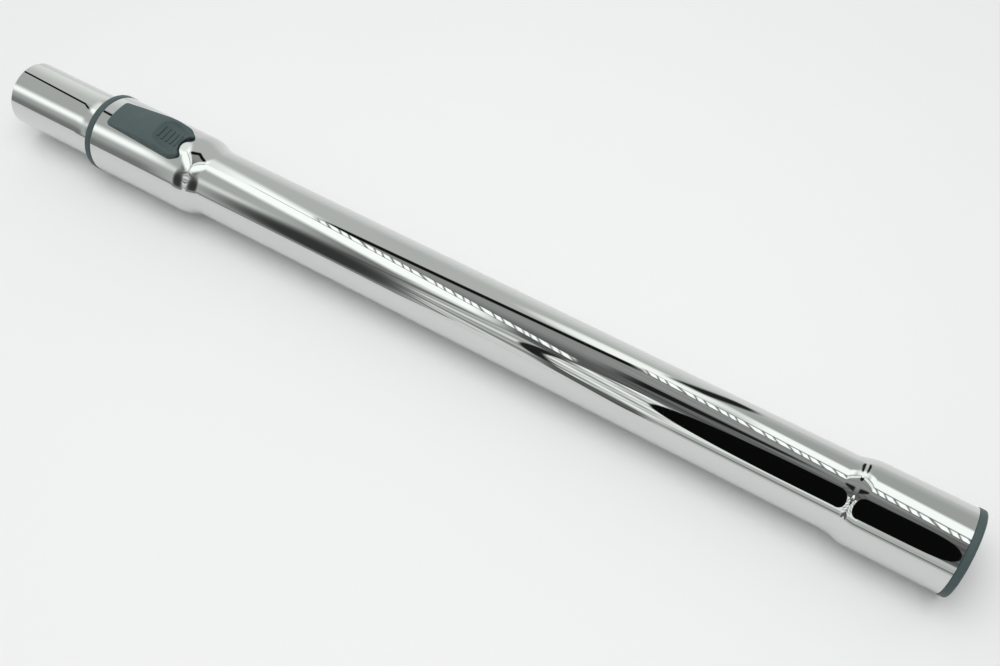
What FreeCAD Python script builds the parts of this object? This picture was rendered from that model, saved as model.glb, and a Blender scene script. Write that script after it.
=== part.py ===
import FreeCAD, Part
import Sketcher
import math
import os

# Telescopic vacuum wand, closed, in millimetres.
# Stations run along the axis from the free end of the closed wand. Each piece is drawn on them and
# then placed so that the origin is where the bore of the socket begins, with +X out of the socket
# and +Z up through the thumb slider.

SIZES = {
    # tubes
    "tube_wall": 0.6,
    "free_diameter": 35.0,
    "main_diameter": 35.5,
    "tube_gap": 0.95,
    "lock_depth": 4.7,
    "free_length": 45.5,
    "neck_length": 14.5,
    "lock_taper": 14.0,
    "socket_taper": 11.0,
    "socket_length": 41.0,
    "rim_round": 0.25,
    "travel": 320.0,
    "stop_gap": 2.0,
    "end_room": 4.0,
    # clearances
    "slide_clearance": 0.1,
    "seat_clearance": 0.05,
    "key_clearance": 0.3,
    "nest_clearance": 0.3,
    "socket_fit": 0.05,
    # groove along the top of the inner tube
    "groove_depth": 1.4,
    "groove_width": 9.0,
    "groove_room": 0.5,
    # guide sleeve and its collar
    "collar_lip": 0.2,
    "collar_width": 3.9,
    "collar_round": 0.8,
    "neck_nest": 3.6,
    "sleeve_setback": 1.0,
    "sleeve_roof": 0.9,
    "channel_wall": 2.7,
    "key_setback": 2.0,
    # bush and seal at the hidden end of the inner tube
    "bush_seat": 20.0,
    "bush_head": 6.0,
    "seal_setback": 1.6,
    "seal_width": 2.8,
    "seal_depth": 0.9,
    # liner of the socket
    "liner_wall": 1.45,
    "ring_lip": 0.3,
    "ring_width": 3.5,
    "ring_round": 1.3,
    "mouth_chamfer": 0.8,
    "liner_setback": 1.0,
    "stop_length": 4.0,
    "stop_height": 0.95,
    # thumb slider
    "stroke": 5.0,
    "button_gap": 6.5,
    "button_length": 46.5,
    "button_margin": 1.7,
    "button_lift": 0.3,
    "button_width": 16.4,
    "button_flare": 2.0,
    "button_corner": 2.0,
    "button_edge": 0.9,
    "ear_length": 3.8,
    "ear_width": 14.8,
    "ear_round": 5.0,
    "ear_tip_round": 0.8,
    "notch_width": 12.4,
    "notch_depth": 3.0,
    "crown_drop": 15.0,
    "start_rise": 0.6,
    "crest_rise": 4.8,
    "crest_setback": 13.0,
    "crest_radius": 24.0,
    "end_rise": 0.9,
    "dish_setback": 4.4,
    "dish_radius": 23.4,
    "dish_skin": 0.7,
    "dish_width": 7.6,
    "dish_flare": 4.9,
    "dish_height": 2.6,
    "rib_count": 5,
    "rib_pitch": 2.6,
    "rib_radius": 0.6,
    "rib_width": 7.4,
    # wedge carriage, clamp shoe and return spring
    "carriage_setback": 9.2,
    "carriage_length": 27.0,
    "carriage_width": 15.0,
    "clamp_lift": 0.5,
    "shoe_setback": 4.0,
    "shoe_length": 12.0,
    "shoe_width": 6.8,
    "shoe_gap": 0.1,
    "ramp_room": 0.25,
    "boss_wall": 1.0,
    "boss_width": 11.0,
    "boss_depth": 1.0,
    "slot_gap": 0.4,
    "spring_diameter": 2.4,
    "spring_wire": 0.35,
    "spring_turns": 8,
    "spring_gap": 0.3,
    "stub_diameter": 1.2,
    "stub_length": 2.0,
    # how far a cut runs past the solid that it opens
    "cut_room": 2.0,
}

FOLLOWING = {
    # radii
    "free_radius": "free_diameter / 2",
    "main_radius": "main_diameter / 2",
    "main_bore": "main_radius - tube_wall",
    "slide_radius": "main_bore - tube_gap",
    "lock_radius": "slide_radius + lock_depth",
    "collar_radius": "lock_radius + collar_lip",
    "liner_bore": "free_radius + socket_fit",
    "liner_radius": "liner_bore + liner_wall",
    "socket_bore": "liner_radius + slide_clearance",
    "socket_radius": "socket_bore + tube_wall",
    "ring_radius": "socket_radius + ring_lip",
    "free_bore": "free_radius - tube_wall",
    "slide_bore": "slide_radius - tube_wall",
    "lock_bore": "lock_radius - tube_wall",
    "neck_radius": "(free_radius + slide_radius) / 2",
    "neck_bore": "neck_radius - tube_wall",
    "shoulder_radius": "(lock_radius + main_radius) / 2",
    "shoulder_bore": "shoulder_radius - tube_wall",
    "bell_radius": "(main_radius + socket_radius) / 2",
    "bell_bore": "bell_radius - tube_wall",
    # stations
    "neck_middle": "free_length + neck_length / 2",
    "neck_end": "free_length + neck_length",
    "collar_start": "neck_end - neck_nest",
    "collar_end": "collar_start + collar_width",
    "button_start": "collar_end + button_gap",
    "button_end": "button_start + button_length",
    "lock_end": "button_end + button_margin",
    "shoulder_middle": "lock_end + lock_taper / 2",
    "main_start": "lock_end + lock_taper",
    "sleeve_end": "lock_end - sleeve_setback",
    "bush_start": "sleeve_end + travel + stop_gap",
    "inner_end": "bush_start + bush_seat",
    "bush_end": "inner_end + bush_head",
    "main_end": "bush_end + end_room",
    "bell_middle": "main_end + socket_taper / 2",
    "socket_start": "main_end + socket_taper",
    "socket_end": "socket_start + socket_length",
    "closed_length": "socket_end + ring_width",
    # guide sleeve
    "sleeve_radius": "lock_bore - slide_clearance",
    "sleeve_bore": "slide_radius + slide_clearance",
    "nest_radius": "max(free_radius; slide_radius) + nest_clearance",
    "nest_end": "neck_end + nest_radius - sleeve_bore",
    "channel_floor": "sleeve_bore + sleeve_roof",
    "channel_start": "collar_end + channel_wall",
    "key_end": "sleeve_end - key_setback",
    "key_length": "key_end - channel_start",
    # groove, pressed into the wall
    "groove_half": "groove_width / 2",
    "groove_floor": "slide_radius - groove_depth",
    "groove_start": "channel_start - groove_room",
    "groove_length": "key_length + travel + 2 * groove_room",
    "press_start": "groove_start - tube_wall",
    "press_length": "groove_length + 2 * tube_wall",
    "press_half": "groove_half + tube_wall",
    "press_floor": "groove_floor - tube_wall",
    "press_top": "sqrt((slide_radius - tube_wall / 2)^2 - (groove_half + tube_wall / 2)^2)",
    "groove_top": "slide_radius + cut_room",
    "key_half": "groove_half - key_clearance",
    "key_floor": "groove_floor + key_clearance",
    "key_top": "sleeve_bore + sleeve_roof / 2",
    # bush and seal
    "bush_bore": "slide_radius + seat_clearance",
    "bush_radius": "main_bore - slide_clearance",
    "bush_step": "inner_end + seat_clearance",
    "seal_seat": "bush_radius - seal_depth",
    "seal_seat_start": "inner_end + seal_setback",
    "seal_seat_end": "seal_seat_start + seal_width",
    "seal_start": "seal_seat_start + seat_clearance",
    "seal_end": "seal_seat_end - seat_clearance",
    "seal_bore": "seal_seat + seat_clearance",
    "seal_radius": "main_bore - seat_clearance",
    # liner of the socket
    "liner_start": "socket_start + liner_setback",
    "stop_radius": "liner_bore - stop_height",
    "stop_end": "liner_start + stop_length",
    "chamfer_start": "closed_length - mouth_chamfer",
    "chamfer_radius": "liner_bore + mouth_chamfer",
    # carriage and shoe
    "carriage_start": "button_start + carriage_setback",
    "carriage_end": "carriage_start + carriage_length",
    "carriage_half": "carriage_width / 2",
    "carriage_floor": "channel_floor + slide_clearance",
    "carriage_crown": "lock_bore - 2 * slide_clearance",
    "carriage_edge": "sqrt(carriage_crown^2 - carriage_half^2)",
    "channel_end": "carriage_end + groove_room",
    "channel_half": "carriage_half + 2 * slide_clearance",
    "channel_top": "sleeve_radius + cut_room",
    "channel_depth": "channel_top - channel_floor",
    "clamp_slope": "clamp_lift / stroke",
    "shoe_start": "carriage_start + shoe_setback",
    "shoe_end": "shoe_start + shoe_length",
    "shoe_half": "shoe_width / 2",
    "shoe_base": "groove_floor + seat_clearance",
    "ramp_low": "carriage_floor + ramp_room",
    "shoe_low": "ramp_low - seat_clearance",
    "shoe_high": "shoe_low + clamp_slope * shoe_length",
    "ramp_start": "shoe_start - 2 * shoe_gap",
    "ramp_end": "shoe_end + stroke + 2 * shoe_gap",
    "ramp_left": "ramp_low - clamp_slope * (shoe_start - ramp_start)",
    "ramp_right": "ramp_low + clamp_slope * (ramp_end - shoe_start)",
    "ramp_below": "carriage_floor - cut_room",
    "ramp_width": "shoe_width + 2 * shoe_gap",
    "window_start": "shoe_start - shoe_gap",
    "window_end": "shoe_end + shoe_gap",
    "window_half": "shoe_half + shoe_gap",
    "window_depth": "channel_floor - key_floor + cut_room",
    # boss of the carriage, and the slot in the outer tube that it slides in
    "boss_start": "ramp_start - boss_wall",
    "boss_end": "ramp_end + boss_wall",
    "boss_half": "boss_width / 2",
    "boss_base": "(carriage_floor + carriage_crown) / 2",
    "boss_top": "button_floor + boss_depth",
    "boss_height": "boss_top - boss_base",
    "slot_start": "boss_start - stroke - slot_gap",
    "slot_end": "boss_end + slot_gap",
    "slot_half": "boss_half + slot_gap",
    "slot_top": "lock_radius + cut_room",
    "slot_depth": "slot_top - sqrt(lock_bore^2 - slot_half^2) + tube_wall",
    # spring and the stubs that hold it
    "spring_axis": "channel_floor + spring_diameter / 2 + slide_clearance * 2",
    "spring_mean": "(spring_diameter - spring_wire) / 2",
    "spring_start": "channel_start + spring_gap + spring_wire / 2",
    "spring_height": "carriage_start - spring_gap - spring_wire / 2 - spring_start",
    "spring_top": "spring_axis + spring_mean",
    "spring_wire_radius": "spring_wire / 2",
    "stub_radius": "stub_diameter / 2",
    "stub_root": "carriage_start + stub_length",
    "stub_reach": "2 * stub_length",
    "post_root": "channel_start - stub_length / 2",
    "post_reach": "1.5 * stub_length",
    # thumb slider
    "button_floor": "lock_radius + button_lift",
    "button_half": "button_width / 2",
    "button_wide": "button_half + button_flare",
    "button_base": "sqrt(button_floor^2 - button_wide^2) - button_lift",
    "button_height": "crest_top + cut_room - button_base",
    "ear_start": "button_end - ear_length",
    "ear_middle": "button_end - ear_length / 2",
    "ear_half": "ear_width / 2",
    "notch_half": "notch_width / 2",
    "notch_centre": "button_end - notch_depth + (notch_half^2 + notch_depth^2) / (2 * notch_depth)",
    "start_top": "button_floor + start_rise",
    "crest_top": "button_floor + crest_rise",
    "end_top": "button_floor + end_rise",
    "crest_station": "button_end - crest_setback",
    "trim_start": "button_start - cut_room",
    "trim_end": "button_end + cut_room",
    "trim_low": "start_top - (crest_top - start_top) * cut_room / (crest_station - button_start)",
    "trim_right": "end_top - (crest_top - end_top) * cut_room / crest_setback",
    "trim_top": "crest_top + 2 * cut_room",
    "dish_station": "button_end - dish_setback",
    "dish_floor": "button_floor + dish_skin",
    "dish_axis": "dish_floor + dish_radius",
    "dish_half": "dish_width / 2",
    "dish_wide": "dish_half + dish_flare",
    "dish_rim": "dish_radius - dish_height",
    "rib_angle": "(rib_count - 1) * rib_pitch / dish_radius * 180 / pi",
    "pocket_start": "boss_start - seat_clearance",
    "pocket_end": "boss_end + seat_clearance",
    "pocket_half": "boss_half + seat_clearance",
    "pocket_depth": "boss_top + seat_clearance - button_base",
}

# codes of a sketch's own axes and of the points of an edge in it
X_AXIS, Y_AXIS = range(-1, -3, -1)
START, END, CENTRE = range(1, 4)

NEAR = 1e-3

doc = FreeCAD.newDocument("telescopic_wand")
sheet = doc.addObject("Spreadsheet::Sheet", "sizes")


def fill_sheet():
    """Write the driving sizes as plain numbers and the following ones as formulas."""
    cells = [(name, str(value)) for name, value in SIZES.items()]
    cells += [(name, "=" + formula) for name, formula in FOLLOWING.items()]
    for row, (name, content) in enumerate(cells, start=1):
        sheet.set("A%d" % row, name)
        sheet.set("B%d" % row, content)
        sheet.setAlias("B%d" % row, name)
    doc.recompute()


def size(name):
    """Value of a cell; a leading minus sign turns it round."""
    sign = -1.0 if name.startswith("-") else 1.0
    return sign * float(sheet.get(name.lstrip("-")))


def cell(name):
    """Expression that reads a cell; a leading minus sign turns it round."""
    sign = "-" if name.startswith("-") else ""
    return sign + "sizes." + name.lstrip("-")


def new_body(label):
    """Body on the stations, set back so that the socket's bore begins at the origin."""
    body = doc.addObject("PartDesign::Body", label)
    body.Label = label
    body.setExpression("Placement.Base.x", cell("-chamfer_start"))
    return body


def new_sketch(body, name, role, offset=None, rise=None):
    """Sketch on one of the body's own planes, moved off it and up by a cell each."""
    plane = [item for item in body.Origin.OriginFeatures if item.Role == role][0]
    sketch = body.newObject("Sketcher::SketchObject", name)
    sketch.AttachmentSupport = (plane, "")
    sketch.MapMode = "FlatFace"
    if offset:
        sketch.setExpression("AttachmentOffset.Base.z", cell(offset))
    if rise:
        sketch.setExpression("AttachmentOffset.Base.y", cell(rise))
    return sketch


def hold(sketch, kind, geometry, point, name):
    """Distance of a point from an axis of the sketch, bound to a cell."""
    index = sketch.addConstraint(Sketcher.Constraint(kind, geometry, point, size(name)))
    sketch.setExpression("Constraints[%d]" % index, cell(name))


def hold_point(sketch, geometry, point, across, up):
    """Both coordinates of a point, each bound to a cell or, for None, on the axis."""
    if across:
        hold(sketch, "DistanceX", geometry, point, across)
    else:
        sketch.addConstraint(Sketcher.Constraint("PointOnObject", geometry, point, Y_AXIS))
    if up:
        hold(sketch, "DistanceY", geometry, point, up)
    else:
        sketch.addConstraint(Sketcher.Constraint("PointOnObject", geometry, point, X_AXIS))


def place(across, up):
    """Point in the plane of a sketch."""
    return FreeCAD.Vector(size(across) if across else 0.0, size(up) if up else 0.0, 0.0)


def add_arc(sketch, centre, first, last):
    """Shorter arc between two points; says which of its ends is the first."""
    one = math.atan2(first.y - centre.y, first.x - centre.x)
    two = math.atan2(last.y - centre.y, last.x - centre.x)
    turn = (two - one) % (2 * math.pi)
    forward = turn < math.pi
    low, high = (one, one + turn) if forward else (two, two + 2 * math.pi - turn)
    circle = Part.Circle(centre, FreeCAD.Vector(0, 0, 1), (first - centre).Length)
    index = sketch.addGeometry(Part.ArcOfCircle(circle, low, high), False)
    return index, (START if forward else END), (END if forward else START)


def outline(sketch, corners):
    """Closed outline through corners (across, up, extra).

    An extra of ("centre", cell) makes the stretch up to that corner an arc whose centre has that
    first coordinate, and ("level", None) one whose centre is on the level axis.
    An extra of ("round", cell) rounds the corner with that radius.
    """
    points = [place(corner[0], corner[1]) for corner in corners]
    extras = [corner[2] if len(corner) > 2 else (None, None) for corner in corners]
    count = len(corners)
    ends = []
    arriving = list(points)
    leaving = list(points)
    for i, (kind, name) in enumerate(extras):
        if kind == "round":
            back = (points[i - 1] - points[i]).normalize()
            ahead = (points[(i + 1) % count] - points[i]).normalize()
            run = size(name) / math.tan(back.getAngle(ahead) / 2)
            arriving[i] = points[i] + back * run
            leaving[i] = points[i] + ahead * run
    for i, (kind, name) in enumerate(extras):
        first, last = leaving[i - 1], arriving[i]
        chord = last - first
        if kind == "centre":
            across = size(name)
            up = (first.y + last.y) / 2 + ((first.x + last.x) / 2 - across) * chord.x / chord.y
            index, start, end = add_arc(sketch, FreeCAD.Vector(across, up, 0), first, last)
            hold(sketch, "DistanceX", index, CENTRE, name)
        elif kind == "level":
            across = (first.x + last.x) / 2 + (first.y + last.y) / 2 * chord.y / chord.x
            index, start, end = add_arc(sketch, FreeCAD.Vector(across, 0, 0), first, last)
            sketch.addConstraint(Sketcher.Constraint("PointOnObject", index, CENTRE, X_AXIS))
        else:
            index = sketch.addGeometry(Part.LineSegment(first, last), False)
            start, end = START, END
        ends.append((index, start, end))
    for i, (kind, name) in enumerate(extras):
        index, start, end = ends[i]
        after, after_start, after_end = ends[(i + 1) % count]
        if kind != "round":
            sketch.addConstraint(Sketcher.Constraint("Coincident", index, end, after, after_start))
            hold_point(sketch, index, end, corners[i][0], corners[i][1])
            continue
        middle = (arriving[i] - points[i]) + (leaving[i] - points[i])
        back = arriving[i] - points[i]
        reach = math.hypot(back.Length, size(name))
        centre = points[i] + middle.normalize() * reach
        arc, arc_start, arc_end = add_arc(sketch, centre, arriving[i], leaving[i])
        sketch.addConstraint(Sketcher.Constraint("Tangent", index, end, arc, arc_start))
        sketch.addConstraint(Sketcher.Constraint("Tangent", arc, arc_end, after, after_start))
        radius = sketch.addConstraint(Sketcher.Constraint("Radius", arc, size(name)))
        sketch.setExpression("Constraints[%d]" % radius, cell(name))
        apex = sketch.addGeometry(Part.Point(points[i]), True)
        hold_point(sketch, apex, START, corners[i][0], corners[i][1])
        sketch.addConstraint(Sketcher.Constraint("PointOnObject", apex, START, index))
        sketch.addConstraint(Sketcher.Constraint("PointOnObject", apex, START, after))
    return sketch


def box_outline(sketch, left, right, low, high):
    """Rectangle between four cells."""
    return outline(sketch, [(left, low), (right, low), (right, high), (left, high)])


def disc_outline(sketch, across, up, radius):
    """Circle with its centre and radius bound to cells."""
    circle = Part.Circle(place(across, up), FreeCAD.Vector(0, 0, 1), size(radius))
    index = sketch.addGeometry(circle, False)
    hold_point(sketch, index, CENTRE, across, up)
    radius_index = sketch.addConstraint(Sketcher.Constraint("Radius", index, size(radius)))
    sketch.setExpression("Constraints[%d]" % radius_index, cell(radius))
    return sketch


def axis_line(sketch, first, last, up):
    """Level construction line that a feature turns about."""
    index = sketch.addGeometry(Part.LineSegment(place(first, up), place(last, up)), True)
    hold_point(sketch, index, START, first, up)
    hold_point(sketch, index, END, last, up)
    return (sketch, ["Axis0"])


def finish_feature(body, feature, before, removes):
    """Recompute, and make sure that the feature changed the solid the right way."""
    doc.recompute()
    after = body.Shape.Volume
    gained = before - after if removes else after - before
    if gained > NEAR:
        return feature
    raise RuntimeError("%s on %s: %s, volume %.3f to %.3f"
                       % (feature.Label, body.Label, feature.getStatusString(), before, after))


def volume(body):
    """Volume of the body so far."""
    return 0.0 if body.Shape.isNull() else body.Shape.Volume


def extrude(body, sketch, length, removes=False, middle=False, turned=False, refine=True):
    """Pad or Pocket of a sketch over a length."""
    before = volume(body)
    kind = "PartDesign::Pocket" if removes else "PartDesign::Pad"
    feature = body.newObject(kind, sketch.Name + "_run")
    feature.Profile = sketch
    feature.setExpression("Length", cell(length))
    feature.SideType = "Symmetric" if middle else "One side"
    feature.Reversed = turned
    feature.Refine = refine
    return finish_feature(body, feature, before, removes)


def turn(body, sketch, axis=None, removes=False):
    """Revolution or Groove of a sketch about an axis, the wand's own unless given."""
    before = volume(body)
    kind = "PartDesign::Groove" if removes else "PartDesign::Revolution"
    feature = body.newObject(kind, sketch.Name + "_turn")
    feature.Profile = sketch
    feature.ReferenceAxis = axis or (sketch, ["H_Axis"])
    feature.Angle = 360.0
    return finish_feature(body, feature, before, removes)


def round_edges(body, radius, wanted):
    """Fillet on the edges of the body's last feature that pass a test."""
    base = body.Tip
    names = ["Edge%d" % (i + 1) for i, edge in enumerate(base.Shape.Edges) if wanted(edge)]
    feature = body.newObject("PartDesign::Fillet", base.Name + "_rounded")
    feature.Base = (base, names)
    feature.setExpression("Radius", cell(radius))
    return finish_feature(body, feature, base.Shape.Volume, True)


def middle_of(edge):
    """Point halfway along an edge."""
    return edge.valueAt((edge.FirstParameter + edge.LastParameter) / 2)


def make_outer_tube():
    """Chromed tube: lock end with a slot, shoulder, main run, bell and socket end."""
    body = new_body("outer_tube")
    wall = outline(new_sketch(body, "outer_wall", "XZ_Plane"), [
        ("collar_end", "lock_radius"),
        ("lock_end", "lock_radius"),
        ("shoulder_middle", "shoulder_radius", ("centre", "lock_end")),
        ("main_start", "main_radius", ("centre", "main_start")),
        ("main_end", "main_radius"),
        ("bell_middle", "bell_radius", ("centre", "main_end")),
        ("socket_start", "socket_radius", ("centre", "socket_start")),
        ("socket_end", "socket_radius"),
        ("socket_end", "socket_bore"),
        ("socket_start", "socket_bore"),
        ("bell_middle", "bell_bore", ("centre", "socket_start")),
        ("main_end", "main_bore", ("centre", "main_end")),
        ("main_start", "main_bore"),
        ("shoulder_middle", "shoulder_bore", ("centre", "main_start")),
        ("lock_end", "lock_bore", ("centre", "lock_end")),
        ("collar_end", "lock_bore"),
    ])
    turn(body, wall)
    slot = box_outline(new_sketch(body, "boss_slot", "XY_Plane", "slot_top"),
                       "slot_start", "slot_end", "-slot_half", "slot_half")
    extrude(body, slot, "slot_depth", removes=True)
    return body


def make_inner_tube():
    """Chromed sliding tube: belled free end, neck, and a long groove pressed into its top."""
    body = new_body("inner_tube")
    wall = outline(new_sketch(body, "inner_wall", "XZ_Plane"), [
        (None, "free_radius"),
        ("free_length", "free_radius"),
        ("neck_middle", "neck_radius", ("centre", "free_length")),
        ("neck_end", "slide_radius", ("centre", "neck_end")),
        ("inner_end", "slide_radius"),
        ("inner_end", "slide_bore"),
        ("neck_end", "slide_bore"),
        ("neck_middle", "neck_bore", ("centre", "neck_end")),
        ("free_length", "free_bore", ("centre", "free_length")),
        (None, "free_bore"),
    ])
    turn(body, wall)
    round_edges(body, "rim_round", lambda edge: abs(edge.BoundBox.XMax) < NEAR)
    press = box_outline(new_sketch(body, "pressed_wall", "YZ_Plane", "press_start"),
                        "-press_half", "press_half", "press_floor", "press_top")
    extrude(body, press, "press_length")
    groove = box_outline(new_sketch(body, "pressed_groove", "YZ_Plane", "groove_start"),
                         "-groove_half", "groove_half", "groove_floor", "groove_top")
    extrude(body, groove, "groove_length", removes=True, turned=True)
    return body


def make_guide_sleeve():
    """Moulded sleeve with its collar, the carriage's channel, the key and the shoe's window."""
    body = new_body("guide_sleeve")
    wall = outline(new_sketch(body, "sleeve_wall", "XZ_Plane"), [
        ("collar_start", "collar_radius", ("round", "collar_round")),
        ("collar_end", "collar_radius", ("round", "collar_round")),
        ("collar_end", "sleeve_radius"),
        ("sleeve_end", "sleeve_radius"),
        ("sleeve_end", "sleeve_bore"),
        ("nest_end", "sleeve_bore"),
        ("neck_end", "nest_radius"),
        ("collar_start", "nest_radius"),
    ])
    turn(body, wall)
    key = box_outline(new_sketch(body, "groove_key", "YZ_Plane", "channel_start"),
                      "-key_half", "key_half", "key_floor", "key_top")
    extrude(body, key, "key_length")
    channel = box_outline(new_sketch(body, "carriage_channel", "XY_Plane", "channel_top"),
                          "channel_start", "channel_end", "-channel_half", "channel_half")
    extrude(body, channel, "channel_depth", removes=True)
    window = box_outline(new_sketch(body, "shoe_window", "XY_Plane", "channel_floor"),
                         "window_start", "window_end", "-window_half", "window_half")
    extrude(body, window, "window_depth", removes=True)
    post = disc_outline(new_sketch(body, "spring_post", "YZ_Plane", "post_root"),
                        None, "spring_axis", "stub_radius")
    extrude(body, post, "post_reach")
    return body


def make_inner_end_bush():
    """Moulded bush on the hidden end of the inner tube, with a seat for the seal."""
    body = new_body("inner_end_bush")
    wall = outline(new_sketch(body, "bush_wall", "XZ_Plane"), [
        ("bush_start", "bush_radius"),
        ("seal_seat_start", "bush_radius"),
        ("seal_seat_start", "seal_seat"),
        ("seal_seat_end", "seal_seat"),
        ("seal_seat_end", "bush_radius"),
        ("bush_end", "bush_radius"),
        ("bush_end", "slide_bore"),
        ("bush_step", "slide_bore"),
        ("bush_step", "bush_bore"),
        ("bush_start", "bush_bore"),
    ])
    turn(body, wall)
    return body


def make_inner_seal_ring():
    """Soft ring in the bush that closes the gap between the tubes."""
    body = new_body("inner_seal_ring")
    wall = box_outline(new_sketch(body, "seal_wall", "XZ_Plane"),
                       "seal_start", "seal_end", "seal_bore", "seal_radius")
    turn(body, wall)
    return body


def make_socket_liner():
    """Moulded liner of the socket: stop, bore, chamfered mouth and rounded ring."""
    body = new_body("socket_liner")
    wall = outline(new_sketch(body, "liner_wall", "XZ_Plane"), [
        ("liner_start", "liner_radius"),
        ("socket_end", "liner_radius"),
        ("socket_end", "ring_radius"),
        ("closed_length", "ring_radius", ("round", "ring_round")),
        ("closed_length", "chamfer_radius"),
        ("chamfer_start", "liner_bore"),
        ("stop_end", "liner_bore"),
        ("stop_end", "stop_radius"),
        ("liner_start", "stop_radius"),
    ])
    turn(body, wall)
    return body


def make_slider_button():
    """Moulded thumb slider: flared wedge with two ears, a dished thumb rest and its ribs."""
    body = new_body("slider_button")
    plan = outline(new_sketch(body, "button_plan", "XY_Plane", "button_base"), [
        ("button_start", "button_half", ("round", "button_corner")),
        ("button_start", "-button_half", ("round", "button_corner")),
        ("ear_start", "-button_wide", ("round", "ear_round")),
        ("button_end", "-ear_half", ("round", "ear_tip_round")),
        ("button_end", "-notch_half"),
        ("button_end", "notch_half", ("centre", "notch_centre")),
        ("button_end", "ear_half", ("round", "ear_tip_round")),
        ("ear_start", "button_wide", ("round", "ear_round")),
    ])
    extrude(body, plan, "button_height")

    trim = new_sketch(body, "button_trim", "XZ_Plane")
    crown_axis = axis_line(trim, "trim_start", "trim_end", "-crown_drop")
    outline(trim, [
        ("trim_start", "trim_low"),
        ("crest_station", "crest_top", ("round", "crest_radius")),
        ("trim_end", "trim_right"),
        ("trim_end", "trim_top"),
        ("trim_start", "trim_top"),
    ])
    turn(body, trim, crown_axis, removes=True)

    def outer_top_edge(edge):
        point = middle_of(edge)
        level = edge.BoundBox.ZLength < edge.Length / 2
        on_side = abs(point.y) > size("button_half") - size("button_corner")
        on_start = point.x < size("button_start") + size("button_corner")
        above = point.z > size("button_base") + size("button_edge")
        return level and above and point.x < size("ear_middle") and (on_side or on_start)

    round_edges(body, "button_edge", outer_top_edge)

    dish = outline(new_sketch(body, "thumb_dish", "YZ_Plane", "dish_station", "dish_axis"), [
        ("-dish_half", "-dish_radius", ("centre", "-dish_half")),
        ("dish_half", "-dish_radius"),
        ("dish_wide", "-dish_rim", ("centre", "dish_half")),
        ("-dish_wide", "-dish_rim"),
    ])
    turn(body, dish, removes=True)

    section = disc_outline(new_sketch(body, "thumb_rib", "XZ_Plane"),
                           "dish_station", "dish_floor", "rib_radius")
    rib = extrude(body, section, "rib_width", middle=True, refine=False)
    ribs = body.newObject("PartDesign::PolarPattern", "thumb_ribs")
    ribs.Originals = [rib]
    ribs.Axis = (dish, ["H_Axis"])
    ribs.setExpression("Angle", cell("rib_angle"))
    ribs.setExpression("Occurrences", cell("rib_count"))
    ribs.Refine = False
    body.Tip = ribs
    finish_feature(body, ribs, rib.Shape.Volume, False)

    under = disc_outline(new_sketch(body, "tube_clearance", "YZ_Plane", "trim_start"),
                         None, None, "button_floor")
    extrude(body, under, "closed_length", removes=True, turned=True)
    pocket = box_outline(new_sketch(body, "boss_pocket", "XY_Plane", "button_base"),
                         "pocket_start", "pocket_end", "-pocket_half", "pocket_half")
    extrude(body, pocket, "pocket_depth", removes=True, turned=True)
    return body


def make_slider_carriage():
    """Moulded wedge that slides in the sleeve's channel, with the boss that carries the button."""
    body = new_body("slider_carriage")
    section = outline(new_sketch(body, "carriage_section", "YZ_Plane", "carriage_start"), [
        ("-carriage_half", "carriage_floor"),
        ("carriage_half", "carriage_floor"),
        ("carriage_half", "carriage_edge"),
        ("-carriage_half", "carriage_edge", ("level", None)),
    ])
    extrude(body, section, "carriage_length")
    boss = box_outline(new_sketch(body, "carriage_boss", "XY_Plane", "boss_base"),
                       "boss_start", "boss_end", "-boss_half", "boss_half")
    extrude(body, boss, "boss_height")
    ramp = outline(new_sketch(body, "clamp_ramp", "XZ_Plane"), [
        ("ramp_start", "ramp_below"),
        ("ramp_end", "ramp_below"),
        ("ramp_end", "ramp_right"),
        ("ramp_start", "ramp_left"),
    ])
    extrude(body, ramp, "ramp_width", removes=True, middle=True)
    stub = disc_outline(new_sketch(body, "spring_stub", "YZ_Plane", "stub_root"),
                        None, "spring_axis", "stub_radius")
    extrude(body, stub, "stub_reach", turned=True)
    return body


def make_clamp_shoe():
    """Block under the wedge, pressed on the floor of the inner tube's groove."""
    body = new_body("clamp_shoe")
    side = outline(new_sketch(body, "shoe_side", "XZ_Plane"), [
        ("shoe_start", "shoe_base"),
        ("shoe_end", "shoe_base"),
        ("shoe_end", "shoe_high"),
        ("shoe_start", "shoe_low"),
    ])
    extrude(body, side, "shoe_width", middle=True)
    return body


def make_return_spring():
    """Coil spring between the channel's end and the carriage."""
    body = new_body("return_spring")
    wire = new_sketch(body, "spring_section", "XZ_Plane")
    axis = axis_line(wire, "spring_start", "carriage_start", "spring_axis")
    disc_outline(wire, "spring_start", "spring_top", "spring_wire_radius")
    coil = body.newObject("PartDesign::AdditiveHelix", "spring_coil")
    coil.Profile = wire
    coil.ReferenceAxis = axis
    coil.Mode = "height-turns-angle"
    coil.setExpression("Height", cell("spring_height"))
    coil.setExpression("Turns", cell("spring_turns"))
    finish_feature(body, coil, 0.0, False)
    return body


def write_parts(bodies):
    """Check every object and every solid, then write one file for each sub-part."""
    for item in doc.Objects:
        if "Invalid" in item.State or "Error" in item.State:
            raise RuntimeError("%s failed" % item.Label)
    for body in bodies:
        if body.Shape.isNull() or not body.Shape.isValid() or len(body.Shape.Solids) != 1:
            raise RuntimeError("%s is not one sound solid" % body.Label)
    os.makedirs("parts", exist_ok=True)
    for body in bodies:
        body.Shape.exportStep("parts/%s.step" % body.Label)
        print("%-16s %9.1f mm3" % (body.Label, body.Shape.Volume))


fill_sheet()
write_parts([
    make_outer_tube(),
    make_inner_tube(),
    make_guide_sleeve(),
    make_inner_end_bush(),
    make_inner_seal_ring(),
    make_socket_liner(),
    make_slider_button(),
    make_slider_carriage(),
    make_clamp_shoe(),
    make_return_spring(),
])
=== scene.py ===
"""Chromed telescopic vacuum wand on a pale table, laid out as an add-on."""

import math

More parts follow.
